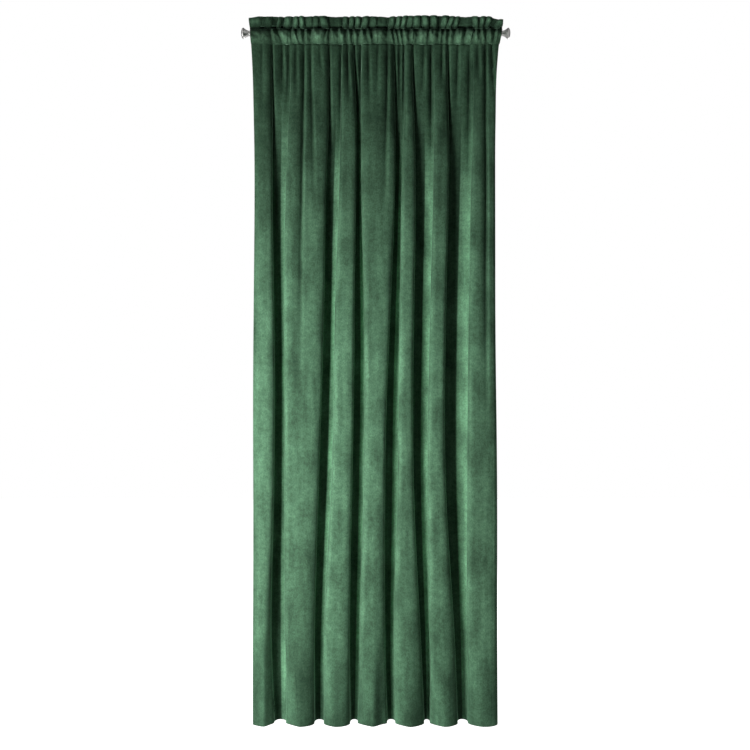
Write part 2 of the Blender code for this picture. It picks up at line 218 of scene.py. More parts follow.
def leftEdge(z):
    return throughLevels(
        [frillTopZ, upperSeamZ, lowerSeamZ, -0.12, -0.35, -0.95, -1.75, hemZ],
        [-0.4795, -0.4750, -0.4705, -0.4660, -0.461, -0.461, -0.464, -0.464], z)


def rightEdge(z):
    return throughLevels(
        [frillTopZ, upperSeamZ, lowerSeamZ, -0.12, -0.35, -0.95, -1.75, hemZ],
        [0.4805, 0.4780, 0.4670, 0.4590, 0.453, 0.453, 0.460, 0.463], z)


def foldTurn(start, side, end, startShape, endShape, overhang, dense=72):
    # the cloth from the middle of a fold or recess round one side to the middle of the next
    t = np.linspace(0, 1, dense)[None, :]
    shape = np.where(t < 0.5, startShape[:, None], endShape[:, None])
    sine, cosine = np.sin(math.pi * t) ** shape, np.abs(np.cos(math.pi * t)) ** shape
    start, side, end = start[:, None], side[:, None], end[:, None]
    x = np.where(t < 0.5, start + (side - start) * sine, end - (end - side) * sine)
    depth = np.where(t < 0.5, 1.0, -1.0) * cosine
    near = np.clip(1.2 - np.abs(t - 0.5) * 2.4, 0.0, 1.0) ** 1.5
    return x + overhang[:, None] * depth * near, depth


def evenSteps(x, y, columns):
    # the same turn with its points at even distances along the cloth
    steps = np.hypot(np.diff(x, axis=1), np.diff(y, axis=1))
    along = np.concatenate([np.zeros((len(x), 1)), np.cumsum(steps, axis=1)], axis=1)
    out = np.empty((2, len(x), columns))
    for row in range(len(x)):
        want = np.linspace(0, along[row, -1], columns)
        out[0, row] = np.interp(want, along[row], x[row])
        out[1, row] = np.interp(want, along[row], y[row])
    return out


def foldedRows(z):
    # x, y and the painted shading for every column at every height (painted shade in the recesses, painted
    # light on their far sides, painted highlights along the folds' left edges), before gathers and dents
    z = np.asarray(z, float)
    reach = throughLevels(foldLevels, foldReach, z)
    sides = [throughLevels(foldLevels, places, z) for places in foldSides]
    corners = [throughLevels(foldLevels, shapes, z) for shapes in cornerShape]
    bounds = [leftEdge(z)] + sides + [rightEdge(z)]
    middles = [(a + b) / 2 for a, b in zip(bounds, bounds[1:])]
    middles[0] = bounds[0] * 0.35 + bounds[1] * 0.65    # the first fold is fullest towards its right
    columns = panel["columnsPerTurn"]
    t = np.linspace(0, 1, 40)[None, :]
    x = bounds[0][:, None] + (middles[0] - bounds[0])[:, None] * t
    start = panel["leftEdgeReach"]
    y = -reach[:, None] * (start + (1 - start) * np.sin(math.pi / 2 * t) ** 0.9)
    parts, piles = [evenSteps(x, y, columns)], [np.ones((len(z), columns))]
    opened = 1 - ease(z, hemZ, hemZ + panel["hemEases"])
    backShape = panel["backSquare"] + panel["hemOpensBack"] * opened
    for i, side in enumerate(sides):
        turnsBack = i % 2 == 0
        corner = corners[i] + panel["hemOpensRight" if turnsBack else "hemOpensLeft"] * opened
        shapes = (corner, backShape) if turnsBack else (backShape, corner)
        over = panel["overhangRight" if turnsBack else "overhangLeft"]
        over = over * (1 - panel["hemLosesOverhang"] * opened) * reach / foldReach[-1]
        x, y = foldTurn(middles[i], side, middles[i + 1], *shapes, over)
        y = -y if turnsBack else y
        parts.append(evenSteps(x, y * reach[:, None], columns)[:, :, 1:])
        newX, newY = parts[-1]
        deep = 0.5 + 0.5 * newY / reach[:, None]
        # painted shade on a side turning back into a recess, painted light and a painted highlight on a
        # side coming forward
        if turnsBack:
            piles.append(1 - panel["recessDark"] * deep)
        else:
            edge = np.exp(-(((newX - side[:, None] - 0.003) / 0.007) ** 2)) * (1 - ease(deep, 0.1, 0.4))
            piles.append(1 + panel["recessLight"] * deep + panel["rim"] * edge)
    x = middles[-1][:, None] + (bounds[-1] - middles[-1])[:, None] * np.sin(math.pi / 2 * t) ** 0.8
    end = panel["rightEdgeReach"]
    y = -reach[:, None] * (end + (1 - end) * np.cos(math.pi / 2 * t) ** 0.7)
    parts.append(evenSteps(x, y, columns)[:, :, 1:])
    piles.append(np.ones((len(z), columns - 1)))
    return *np.concatenate(parts, axis=2), np.concatenate(piles, axis=1)


def addGathers(x, y, z):
    # the gathers below the pocket, with painted shade in their valleys and painted highlights beside them
    shape = gatherShape
    below = np.maximum(lowerSeamZ - z, 0.0)
    grown = shape["atSeam"] + (1 - shape["atSeam"]) * ease(below, 0.0, shape["grownBelow"])
    shiftX, shiftY = np.zeros_like(x), np.zeros_like(y)
    pile = np.ones_like(y)
    for top, foot, runsOut, deep in gathers:
        length = lowerSeamZ - runsOut
        track = top + (foot - top) * ease(below, 0.0, length)
        fade = deep * (1 - ease(below, length * shape["fadesFrom"], length))
        spread = 1 + shape["spreads"] * ease(below, 0.0, length)
        distance = x - track
        side = np.where(distance < 0, shape["left"], shape["right"]) * spread
        q = np.clip(distance / side, -1.0, 1.0)
        valley = np.where(q < 0, (1 - np.abs(q)) ** 1.7, 1 - np.abs(q) ** 1.8)
        shiftY += shape["depth"] * grown * fade * valley
        shiftX -= shape["pinch"] * np.minimum(fade, 1.0) * side * q * (1 - np.abs(q)) ** 2
        # a painted highlight beside each gather and painted shade in its valley
        rim = np.exp(-(((distance - side * 1.05) / (shape["rimWidth"] * spread)) ** 2))
        pile = pile - shape["darker"] * np.minimum(fade, 1.0) * valley**1.5 + shape["rim"] * fade * rim
    return x + shiftX, y + shiftY, pile


def forwardOfCups(x):
    return panel["bracketClearance"] * ease(np.abs(x), 0.33, 0.41)


def addDents(x, y, z):
    for place, top, foot, width, depth in dents:
        into = ease(top - z, 0.0, (top - foot) * 0.6)
        q = np.clip(np.abs(x - place) / width, 0.0, 1.0)
        y = y + depth * into * (0.5 + 0.5 * np.cos(math.pi * q)) * (y < poleY)
    return y


def dropRows(z):
    # the hanging cloth at these heights: x, y and the painted shading on its colour
    z = np.asarray(z, float)
    x, y, foldPile = foldedRows(z)
    z = z[:, None]
    below = lowerSeamZ - z
    x, y, pile = addGathers(x, poleY - panel["behindPole"] + y, z)
    y = addDents(x, y, z) - forwardOfCups(x) * (1 - ease(below, 0.02, 0.45))
    settled = ease(below, 0.05, 0.5)
    y = y + 0.0020 * unevenness(x, z, 34.0, 3.0, seed=3) * settled
    x = x + 0.0016 * unevenness(x, z, 16.0, 4.0, seed=9) * settled
    pile = np.maximum(pile, panel["pileLow"]) * (1 + (foldPile - 1) * ease(below, 0.15, 0.60))
    # the colour is darkened in these patches
    for place, height, wide, tall, dark in darkenedPatches:
        pile = pile * (1 - dark * np.exp(-(((x - place) / wide) ** 2) - ((z - height) / tall) ** 2))
    return x, y, pile


def sheetMesh(name, points, pile):
    rows, columns = points.shape[:2]
    index = np.arange(rows * columns).reshape(rows, columns)
    quads = np.stack([index[:-1, :-1], index[1:, :-1], index[1:, 1:], index[:-1, 1:]], axis=-1)
    mesh = bpy.data.meshes.new(name)
    mesh.from_pydata(points.reshape(-1, 3).tolist(), [], quads.reshape(-1, 4).tolist())
    mesh.shade_smooth()
    # painted shading: light and shade painted into the velvet's colour, kept on the points
    shadingLayer = mesh.attributes.new("paintedShading", "FLOAT", "POINT")
    shadingLayer.data.foreach_set("value", np.broadcast_to(pile, points.shape[:2]).astype(np.float32).ravel())
    piece = bpy.data.objects.new(name, mesh)
    bpy.context.scene.collection.objects.link(piece)
    return piece


def thicken(piece, thickness):
    solid = piece.modifiers.new("cloth thickness", "SOLIDIFY")
    solid.thickness = thickness
    solid.offset = -1.0                      # inwards, so the face stays where it was shaped
    solid.material_offset = 1


def stack(x, y, z):
    shape = np.broadcast(x, y, z).shape
    return np.stack([np.broadcast_to(v, shape) for v in (x, y, z)], axis=-1)


def turnedRows():
    # heights down the face to the hem and up again behind it, and which layer each row is in
    s = np.linspace(0, 1, panel["rows"])
    crowd = panel["topCrowding"]
    foot = hemZ + panel["hemDepth"] + 0.012
    face = lowerSeamZ + (foot - lowerSeamZ) * ((1 - crowd) * s + crowd * s * s)
    hem = hemZ + panel["hemDepth"] * np.array([1.0, 0.78, 0.55, 0.33, 0.15, 0.05, 0.0])
    z = np.concatenate([face, hem, [hemZ - 0.0007], hem[::-1]])
    layer = np.concatenate([np.zeros(len(face) + len(hem)), [0.5], np.ones(len(hem))])
    return z, layer


def towardsBack(x, y):
    # the cloth's horizontal direction to its back, smoothed over the sharpest corners
    across = np.stack([np.gradient(x, axis=1), np.gradient(y, axis=1)])
    across = across / np.maximum(np.hypot(*across), 1e-9)
    kernel = np.array([1, 2, 3, 2, 1]) / 9
    padded = np.pad(across, ((0, 0), (0, 0), (2, 2)), mode="edge")
    smooth = sum(k * padded[:, :, i:i + across.shape[2]] for i, k in enumerate(kernel))
    smooth = smooth / np.maximum(np.hypot(*smooth), 1e-9)
    return -smooth[1], smooth[0]


def turnedEdge(x, y, z, layer, fromRight):
    # columns that carry the cloth round its side edge and in behind itself, edge column first
    if fromRight:
        x, y = x[:, ::-1], y[:, ::-1]
    backX, backY = towardsBack(x, y)
    if fromRight:
        backX, backY = -backX, -backY
    steps = np.hypot(np.diff(x, axis=1), np.diff(y, axis=1))
    along = np.concatenate([np.zeros((len(x), 1)), np.cumsum(steps, axis=1)], axis=1)
    outward = np.stack([x[:, 0] - x[:, 1], y[:, 0] - y[:, 1]]) / steps[:, 0]
    inset = np.array([0.0, 0.0, 0.15, 0.4, 0.7, 1.0]) * panel["sideHem"]
    level = np.array([0.5, 1.0, 1.0, 1.0, 1.0, 1.0])
    columns = np.empty((2, len(x), len(inset)))
    for row in range(len(x)):
        for axis, (line, back) in enumerate(((x[row], backX[row]), (y[row], backY[row]))):
            shift = panel["layerGap"] * (level + layer[row]) * np.interp(inset, along[row], back)
            columns[axis, row] = np.interp(inset, along[row], line) + shift
    columns[:, :, 0] += outward * 0.0007
    return stack(columns[0], columns[1], z[:, None])


def makePanel():
    z, layer = turnedRows()
    x, y, pile = dropRows(z)
    # the columns next to the leading hem are drawn onto its straight edge
    last = 40
    split = int(np.median(np.argmin(np.abs(x[:, -last:] - leadingX), axis=1))) + x.shape[1] - last
    near = np.exp(-(((np.arange(x.shape[1]) - split) / 9.0) ** 2))
    x = x + (leadingX - x[:, split])[:, None] * near
    lengths = np.hypot(np.diff(x, axis=1), np.diff(y, axis=1)).sum(axis=1)
    print("cloth width down the panel:", np.round(lengths[:: panel["rows"] // 8], 3))
    backX, backY = towardsBack(x, y)
    left = turnedEdge(x, y, z, layer, fromRight=False)[:, ::-1]
    right = turnedEdge(x, y, z, layer, fromRight=True)
    shift = panel["layerGap"] * layer[:, None]
    points = stack(x + backX * shift, y + backY * shift, z[:, None])
    body = np.concatenate([left, points[:, :split + 1]], axis=1)
    strip = np.concatenate([points[:, split:], right], axis=1)
    turned = left.shape[1]
    bodyPile = np.pad(pile[:, :split + 1], ((0, 0), (turned, 0)), mode="edge")
    stripPile = np.pad(pile[:, split:], ((0, 0), (0, turned)), mode="edge")
    print("leading side hem starts at column", split, "of", x.shape[1])
    pieces = sheetMesh("curtain_panel", body, bodyPile), sheetMesh("leading_side_hem", strip, stripPile)
    return *pieces, body, strip


header = {
    "columns": 900,
    "pocketRows": 44,
    "frillRows": 32,
    "overPole": 0.0115,        # how far the cloth is pushed forward by the pole
    "puff": 0.0180,            # how much further the puffs stand out between creases
    "pleat": 0.0145,           # how far the frill's pleats stand out
    "endDrop": 0.34,           # the ends hang this much lower for each step forward
    "overlap": 0.0018,         # the pocket's foot reaches this far below the drop's top
    "tuck": 0.0036,            # and turns in behind the drop at the seam
    "clearOfPole": 0.0026,     # the pocket's front stays this far off the tube
    "hang": 0.0010,            # puffs sag by this much at least
    "sag": 0.0045,             # and by this much more where they are fullest
    "seamBack": 0.004,         # the upper seam sits this far behind the lower one
    "layerGap": 0.0042,        # between the frill's front and back layers
}

# The pocket's creases and crests from left to right: place at the upper seam, place at the
# lower seam, how far out (0 is a crease, 1 a full crest)
pocketFolds = [
    (-0.478, -0.474, 0.16), (-0.440, -0.436, 0.24), (-0.408, -0.404, 0.12),
    (-0.400, -0.392, 0.00), (-0.390, -0.379, 0.75), (-0.376, -0.355, 0.10),
    (-0.362, -0.345, 0.95), (-0.334, -0.340, 0.90), (-0.322, -0.320, 0.00),
    (-0.313, -0.298, 0.80), (-0.306, -0.291, 0.05), (-0.286, -0.279, 0.75),
    (-0.272, -0.272, 0.00), (-0.261, -0.263, 0.70), (-0.246, -0.247, 0.05),
    (-0.234, -0.220, 1.00), (-0.196, -0.212, 0.90), (-0.185, -0.199, 0.10),
    (-0.181, -0.190, 0.55), (-0.175, -0.178, 0.00), (-0.167, -0.157, 0.80),
    (-0.143, -0.143, 0.15), (-0.136, -0.126, 0.95), (-0.112, -0.112, 0.00),
    (-0.103, -0.096, 0.80), (-0.089, -0.087, 0.05), (-0.080, -0.075, 0.80),
    (-0.060, -0.067, 0.05), (-0.053, -0.042, 0.90), (-0.042, -0.025, 0.10),
    (-0.028, -0.015, 0.80), (-0.016, -0.008, 0.00), (-0.001, 0.008, 1.00),
    (0.030, 0.015, 0.85), (0.043, 0.044, 0.00), (0.053, 0.069, 0.80),
    (0.060, 0.077, 0.05), (0.072, 0.086, 0.75), (0.079, 0.095, 0.05),
    (0.089, 0.102, 0.80), (0.098, 0.109, 0.00), (0.108, 0.117, 0.85),
    (0.127, 0.131, 0.05), (0.142, 0.145, 0.75), (0.163, 0.155, 0.00),
    (0.173, 0.181, 1.00), (0.197, 0.187, 0.85), (0.202, 0.201, 0.05),
    (0.209, 0.218, 0.95), (0.228, 0.223, 0.80), (0.237, 0.242, 0.00),
    (0.248, 0.249, 0.55), (0.257, 0.258, 0.05), (0.267, 0.268, 0.60),
    (0.278, 0.279, 0.00), (0.287, 0.286, 0.80), (0.303, 0.300, 0.10),
    (0.312, 0.321, 0.95), (0.329, 0.329, 0.85), (0.342, 0.340, 0.00),
    (0.350, 0.359, 0.95), (0.369, 0.364, 0.85), (0.373, 0.371, 0.05),
    (0.381, 0.388, 0.75), (0.393, 0.404, 0.00), (0.401, 0.414, 0.80),
    (0.413, 0.427, 0.10), (0.433, 0.440, 0.80), (0.447, 0.454, 0.10),
    (0.460, 0.462, 0.60), (0.476, 0.464, 0.20),
]

# The frill's pleats: place halfway up, half its width, how far its top leans right, how far out
frillPleats = [
    (-0.456, 0.026, 0.010, 0.60), (-0.404, 0.015, 0.006, 0.45), (-0.364, 0.008, 0.010, 0.80),
    (-0.334, 0.014, 0.004, 0.85), (-0.303, 0.010, 0.003, 0.92), (-0.279, 0.010, -0.005, 1.00),
    (-0.252, 0.012, 0.002, 0.50), (-0.226, 0.011, 0.002, 0.60), (-0.194, 0.015, -0.010, 0.98),
    (-0.152, 0.024, 0.002, 0.34), (-0.115, 0.010, 0.002, 0.95), (-0.091, 0.010, 0.002, 0.95),
    (-0.067, 0.010, 0.003, 1.00), (-0.040, 0.013, 0.006, 0.95), (-0.008, 0.014, 0.004, 0.66),
    (0.024, 0.019, 0.002, 0.36), (0.061, 0.011, 0.006, 0.90), (0.086, 0.010, 0.009, 1.00),
    (0.107, 0.010, 0.011, 1.00), (0.130, 0.012, 0.008, 0.72), (0.156, 0.014, 0.001, 0.95),
    (0.190, 0.014, -0.004, 0.85), (0.222, 0.014, -0.004, 0.88), (0.260, 0.013, 0.010, 0.92),
    (0.284, 0.010, 0.018, 1.00), (0.306, 0.009, 0.012, 0.85), (0.342, 0.024, 0.000, 0.34),
    (0.378, 0.012, -0.007, 0.88), (0.402, 0.010, 0.008, 0.90), (0.424, 0.010, 0.012, 0.95),
    (0.466, 0.015, 0.026, 0.92),
]


def headerPlaces():
    # how far along the header each of its columns is, 0 at the left edge and 1 at the right
    return np.linspace(0, 1, header["columns"])


def lowerSeamRow():
    x, y, pile = dropRows([lowerSeamZ])
    places = leftEdge(lowerSeamZ) + (rightEdge(lowerSeamZ) - leftEdge(lowerSeamZ)) * headerPlaces()
    order = np.argsort(x[0])
    return places, np.interp(places, x[0][order], y[0][order])


def pocketOut(x, drop):
    # creases and crests as straight facets between slanting lines, with just-softened corners
    folds = np.array(pocketFolds)
    out = np.empty((len(drop), len(x)))
    for row, d in enumerate(drop):
        lines = np.maximum.accumulate(folds[:, 0] + (folds[:, 1] - folds[:, 0]) * d)
        out[row] = np.interp(x, lines + np.arange(len(lines)) * 1e-6, folds[:, 2])
    return (out[:, np.r_[0, :out.shape[1] - 1]] + 2 * out + out[:, np.r_[1:out.shape[1], -1]]) / 4


def upperSeamRow():
    x = leftEdge(upperSeamZ) + (rightEdge(upperSeamZ) - leftEdge(upperSeamZ)) * headerPlaces()
    out = pocketOut(x, [0.0])[0]
    return x, poleY + header["seamBack"] - panel["behindPole"] - forwardOfCups(x) - 0.006 * out


def pocketRows(drop):
    # drop runs from 0 at the upper seam to 1 at the lower seam
    drop = np.asarray(drop, float)
    lowX, lowY = lowerSeamRow()
    topX, topY = upperSeamRow()
    x = topX + (lowX - topX) * drop[:, None]
    out = pocketOut(np.linspace(topX[0], topX[-1], len(topX)), drop)
    drop = drop[:, None]
    around = np.sin(math.pi * np.clip(drop * 0.96 + 0.02, 0, 1)) ** 0.75
    low = np.sin(math.pi * drop**1.10) ** 0.70
    y = topY + (lowY - topY) * drop - header["overPole"] * around - header["puff"] * low * out
    y = y - 0.0022 * low * unevenness(x, drop, 210.0, 9.0, seed=12)
    z = upperSeamZ + (lowerSeamZ - header["overlap"] - upperSeamZ) * drop
    hooks = 0.5 + 0.5 * np.sin(x * 260.0 + 1.0)
    z = z - (header["hang"] + header["sag"] * hooks) * out * np.sin(math.pi * drop**2.4) ** 0.8
    clear = np.sqrt(np.maximum((poleRadius + header["clearOfPole"]) ** 2 - z**2, 0))
    y = np.minimum(y, poleY - clear) + header["tuck"] * ease(drop, 0.93, 1.0)
    # painted shade: the colour is darkest next to the upper seam, darker by the lower seam and in the
    # creases, with painted light on the crests
    edgeFalloff = 1 - 0.85 * np.exp(-((drop / 0.23) ** 2.5)) - 0.25 * np.exp(-(((1 - drop) / 0.10) ** 2))
    return x, y, z - header["endDrop"] * forwardOfCups(x), (0.46 + 0.80 * out) * edgeFalloff


def frillTop(x):
    dip = 0.005 * (1 - ease(x, -0.478, -0.44)) + 0.012 * ease(x, 0.42, 0.478)
    crown = 0.003 * (1 - ease(np.abs(x - 0.19), 0.05, 0.12))
    ripple = 0.0012 * np.sin(x * 95.0 + 0.6) * np.sin(x * 31.0)
    return frillTopZ - dip + crown + ripple


def frillOut(x, rise):
    # rounded pleats side by side, the highest at each place
    out = np.zeros(x.shape)
    for place, half, lean, height in frillPleats:
        q = np.clip((x - place - lean * (rise - 0.5)) / half, -1, 1)
        out = np.maximum(out, height * np.sqrt(1 - q * q))
    return out


def frillRows(rise, layer):
    # rise runs from 0 at the upper seam to 1 at the frill's folded top
    rise = np.asarray(rise, float)[:, None]
    seamX, seamY = upperSeamRow()
    topX = leftEdge(frillTopZ) + (rightEdge(frillTopZ) - leftEdge(frillTopZ)) * headerPlaces()
    x = seamX + (topX - seamX) * rise
    out = frillOut(x, rise)
    tip = np.sqrt(1 - np.clip(1 - rise / 0.15, 0, 1) ** 2)
    edgeFalloff = 1 - 0.45 * ease(rise, 0.70, 1.0)
    stand = 0.0015 + header["pleat"] * out * tip * edgeFalloff
    hollow = 0.0085 * (1 - out) * np.exp(-((rise - 0.10) / 0.15) ** 2)
    wave = 0.0030 * unevenness(x, rise, 30.0, 2.0, seed=5) * ease(rise, 0.1, 0.6)
    crumple = 0.0012 * unevenness(x, rise, 240.0, 5.0, seed=8) * ease(rise, 0.1, 0.4)
    topY = poleY - panel["behindPole"] - forwardOfCups(x)
    y = seamY + (topY - seamY) * rise - stand + hollow + wave + crumple
    z = upperSeamZ + (frillTop(x) - upperSeamZ) * rise
    z = z + (0.0080 * (1 - out) - 0.0030 * out) * np.exp(-((rise - 0.08) / 0.13) ** 2) * ease(rise, 0, 0.05)
    gap = header["layerGap"] * np.sin(math.pi * np.clip(rise, 0, 1)) ** 0.4 + 0.0020 * (1 - rise)
    # painted shading: lighter on the pleats' crests, darker between them and darkest at the seam
    pile = (0.34 + 1.05 * out**1.5 * tip) * (1 - 0.6 * np.exp(-((rise / 0.12) ** 2)))
    return x, y + layer * gap, z - header["endDrop"] * forwardOfCups(x), pile


def makePocketFront():
    x, y, z, pile = pocketRows(np.linspace(0, 1, header["pocketRows"]))
    return sheetMesh("pocket_front", stack(x, y, z), pile)


def makePocketBack():
    drop = np.linspace(0, 1, 20)[:, None]
    seamX, seamY = upperSeamRow()
    lowX, lowY = lowerSeamRow()
    inside = np.abs(seamX) < backHalf
    seamX, seamY, lowX, lowY = [v[inside] for v in (seamX, seamY, lowX, lowY)]
    out = pocketOut(seamX, drop[:, 0])
    x = seamX + (lowX - seamX) * drop
    behind = header["overPole"] + 0.003 + 0.0035 * out
    y = seamY + (lowY - seamY) * drop + 0.0022 + (behind + poleY - seamY) * np.sin(math.pi * drop) ** 0.7
    z = upperSeamZ + (lowerSeamZ - upperSeamZ) * drop
    clear = np.sqrt(np.maximum((poleRadius + panel["thickness"] + 0.0015) ** 2 - z**2, 0))
    y = np.maximum(y, poleY + clear)
    return sheetMesh("pocket_back", stack(x, y, z)[::-1], 1.0)


def makeFrill():
    rise = np.linspace(0, 1, header["frillRows"]) ** 1.25
    *front, frontPile = frillRows(rise, 0)
    *back, backPile = frillRows(rise[::-1][1:], 1)
    points = np.concatenate([stack(*front), stack(*back)])
    return sheetMesh("header_ruffle", points[::-1], np.concatenate([frontPile, backPile])[::-1])


sewing = {
    "pitch": 0.0042,
    "length": 0.0030,
    "radius": 0.00032,
    "proud": 0.00030,          # how far the thread stands off the cloth
    "behind": 0.0004,          # hem stitches start this far behind the turned layer's middle
    "sides": 6,
    "along": (0.0, 0.12, 0.5, 0.88, 1.0),     # rings along one stitch, and how thick it is at each
    "swell": (0.25, 0.85, 1.0, 0.85, 0.25),
}


def makeStitches(name, runs):
    # each run is a line of points on the cloth and the way its outer side faces
    points, faces = [], []
    sides, rings = sewing["sides"], len(sewing["along"])
    for line, facing in runs:
        line = np.asarray(line, float)
        along = np.concatenate([[0], np.cumsum(np.linalg.norm(np.diff(line, axis=0), axis=1))])
        starts = np.arange(sewing["pitch"], along[-1] - sewing["pitch"], sewing["pitch"])
        for start in starts:
            at = start + sewing["length"] * np.array(sewing["along"])
            centres = np.stack([np.interp(at, along, line[:, i]) for i in range(3)], axis=1)
            tangent = centres[-1] - centres[0]
            tangent = tangent / np.linalg.norm(tangent)
            side = np.cross(tangent, facing)
            side = side / np.linalg.norm(side)
            out = np.cross(side, tangent)
            first = len(points)
            for centre, width in zip(centres, sewing["swell"]):
                for corner in range(sides):
                    turn = math.tau * corner / sides
                    spoke = side * math.cos(turn) + out * math.sin(turn)
                    points.append(centre + out * sewing["proud"] + spoke * sewing["radius"] * width)
            for ring in range(rings - 1):
                low = first + ring * sides
                for corner in range(sides):
                    a, b = low + corner, low + (corner + 1) % sides
                    faces.append((a, b, b + sides, a + sides))
            faces.append(tuple(first + corner for corner in reversed(range(sides))))
            faces.append(tuple(first + (rings - 1) * sides + corner for corner in range(sides)))
    mesh = bpy.data.meshes.new(name)
    mesh.from_pydata([tuple(p) for p in points], [], faces)
    mesh.shade_smooth()
    piece = bpy.data.objects.new(name, mesh)
    bpy.context.scene.collection.objects.link(piece)
    return piece


cameraView = {"distance": 3.80, "fieldAtCurtain": 2.834, "aimX": -0.0028, "aimZ": -1.2975}


def makeCamera():
    data = bpy.data.cameras.new("front camera")
    data.sensor_width = 36.0
    data.lens = data.sensor_width * cameraView["distance"] / cameraView["fieldAtCurtain"]
    camera = bpy.data.objects.new("front camera", data)
    camera.location = (cameraView["aimX"], poleY - 0.02 - cameraView["distance"], cameraView["aimZ"])
    camera.rotation_euler = (math.radians(90), 0, 0)
    bpy.context.scene.collection.objects.link(camera)
    bpy.context.scene.camera = camera


# Softboxes that face the pole's plane: where each stands, the height it faces, its size and power
softboxes = {
    "key": {"at": (-1.5, -2.0, -1.9), "faces": -1.4, "size": (0.9, 1.3), "watts": 86},
    "fill": {"at": (2.0, -3.0, -1.8), "faces": -1.5, "size": (1.5, 2.0), "watts": 4},
    "behind": {"at": (1.4, 2.6, -0.6), "faces": -1.3, "size": (1.6, 1.6), "watts": 45},
}


def makeSoftbox(name, at, faces, size, watts):
    data = bpy.data.lights.new(name, "AREA")
    data.shape = "RECTANGLE"
    data.size, data.size_y = size
    data.energy = watts
    light = bpy.data.objects.new(name, data)
    light.location = at
    towards = Vector((0, poleY, faces)) - Vector(at)
    light.rotation_euler = towards.to_track_quat("-Z", "Y").to_euler()
    bpy.context.scene.collection.objects.link(light)


surround = 0.050                # how bright the room is for everything but the metal
# What polished metal sees of the room, from the camera's side round to behind the curtain
roomBands = [(0.0, 0.16), (0.04, 0.18), (0.11, 0.72), (0.22, 0.70), (0.45, 0.48), (0.53, 0.07), (1.0, 0.08)]


def join(tree, value, socket):
    # a plain number goes straight onto the socket, and another node's result is linked to it
    if isinstance(value, float):
        socket.default_value = value
    else:
        tree.links.new(value, socket)


def mathNode(tree, operation, one, other):
    step = tree.nodes.new("ShaderNodeMath")
    step.operation = operation
    join(tree, one, step.inputs[0])
    join(tree, other, step.inputs[1])
    return step.outputs[0]


def chosen(tree, test, yes, no):
    mixer = tree.nodes.new("ShaderNodeMix")
    mixer.data_type = "FLOAT"
    tree.links.new(test, mixer.inputs["Factor"])
    join(tree, no, mixer.inputs["A"])
    join(tree, yes, mixer.inputs["B"])
    return mixer.outputs["Result"]


def mapped(tree, source, low, high, toLow, toHigh):
    spread = tree.nodes.new("ShaderNodeMapRange")
    ends = {"From Min": low, "From Max": high, "To Min": toLow, "To Max": toHigh}
    for name, value in ends.items():
        spread.inputs[name].default_value = value
    tree.links.new(source, spread.inputs["Value"])
    return spread.outputs["Result"]


def rampNode(tree, source, stops):
    ramp = tree.nodes.new("ShaderNodeValToRGB")
    bands = ramp.color_ramp.elements
    bands[0].position, bands[1].position = stops[0][0], stops[-1][0]
    bands[0].color, bands[1].color = (*stops[0][1], 1), (*stops[-1][1], 1)
    for position, colour in stops[1:-1]:
        bands.new(position).color = (*colour, 1)
    tree.links.new(source, ramp.inputs["Fac"])
    return ramp.outputs["Color"]


def objectPlace(tree):
    return tree.nodes.new("ShaderNodeTexCoord").outputs["Object"]


def stretched(tree, place, stretch):
    mapping = tree.nodes.new("ShaderNodeMapping")
    mapping.inputs["Scale"].default_value = stretch
    tree.links.new(place, mapping.inputs["Vector"])
    return mapping.outputs["Vector"]


def noiseNode(tree, place, scale, detail=2.0):
    noise = tree.nodes.new("ShaderNodeTexNoise")
    noise.inputs["Scale"].default_value = scale
    noise.inputs["Detail"].default_value = detail
    tree.links.new(place, noise.inputs["Vector"])
    return noise.outputs["Fac"]


def shaded(tree, colour, strength):
    shade = tree.nodes.new("ShaderNodeVectorMath")
    shade.operation = "SCALE"
    tree.links.new(colour, shade.inputs[0])
    tree.links.new(strength, shade.inputs["Scale"])
    return shade.outputs["Vector"]


def addBump(tree, shader, height, strength, distance):
    bump = tree.nodes.new("ShaderNodeBump")
    bump.inputs["Strength"].default_value = strength
    bump.inputs["Distance"].default_value = distance
    tree.links.new(height, bump.inputs["Height"])
    tree.links.new(bump.outputs["Normal"], shader.inputs["Normal"])


def makeWorld():
    # a dim surround for the cloth, and for polished metal a room that is brightest above the camera
    world = bpy.data.worlds.new("studio surround")
    bpy.context.scene.world = world
    world.use_nodes = True
    tree = world.node_tree
    background = tree.nodes["Background"]
    background.inputs["Color"].default_value = (1, 1, 1, 1)
    rays = tree.nodes.new("ShaderNodeLightPath")
    place = tree.nodes.new("ShaderNodeTexCoord")
    split = tree.nodes.new("ShaderNodeSeparateXYZ")
    tree.links.new(place.outputs["Generated"], split.inputs[0])
    around = mapped(tree, split.outputs["Y"], -1.0, 1.0, 0.0, 1.0)
    room = rampNode(tree, around, [(position, (grey,) * 3) for position, grey in roomBands])
    dim = chosen(tree, rays.outputs["Is Glossy Ray"], room, surround)
    join(tree, chosen(tree, rays.outputs["Is Camera Ray"], 1.0, dim), background.inputs["Strength"])


def newMaterial(name):
    material = bpy.data.materials.new(name)
    material.use_nodes = True
    tree = material.node_tree
    return material, tree, tree.nodes["Principled BSDF"]


floorLook = {
    "below": 0.03,             # how far under the hem
    "size": 14.0,
    "colour": (0.86, 0.86, 0.86),
    "inMetal": 0.22,           # how bright it glows in the metal's reflections
}


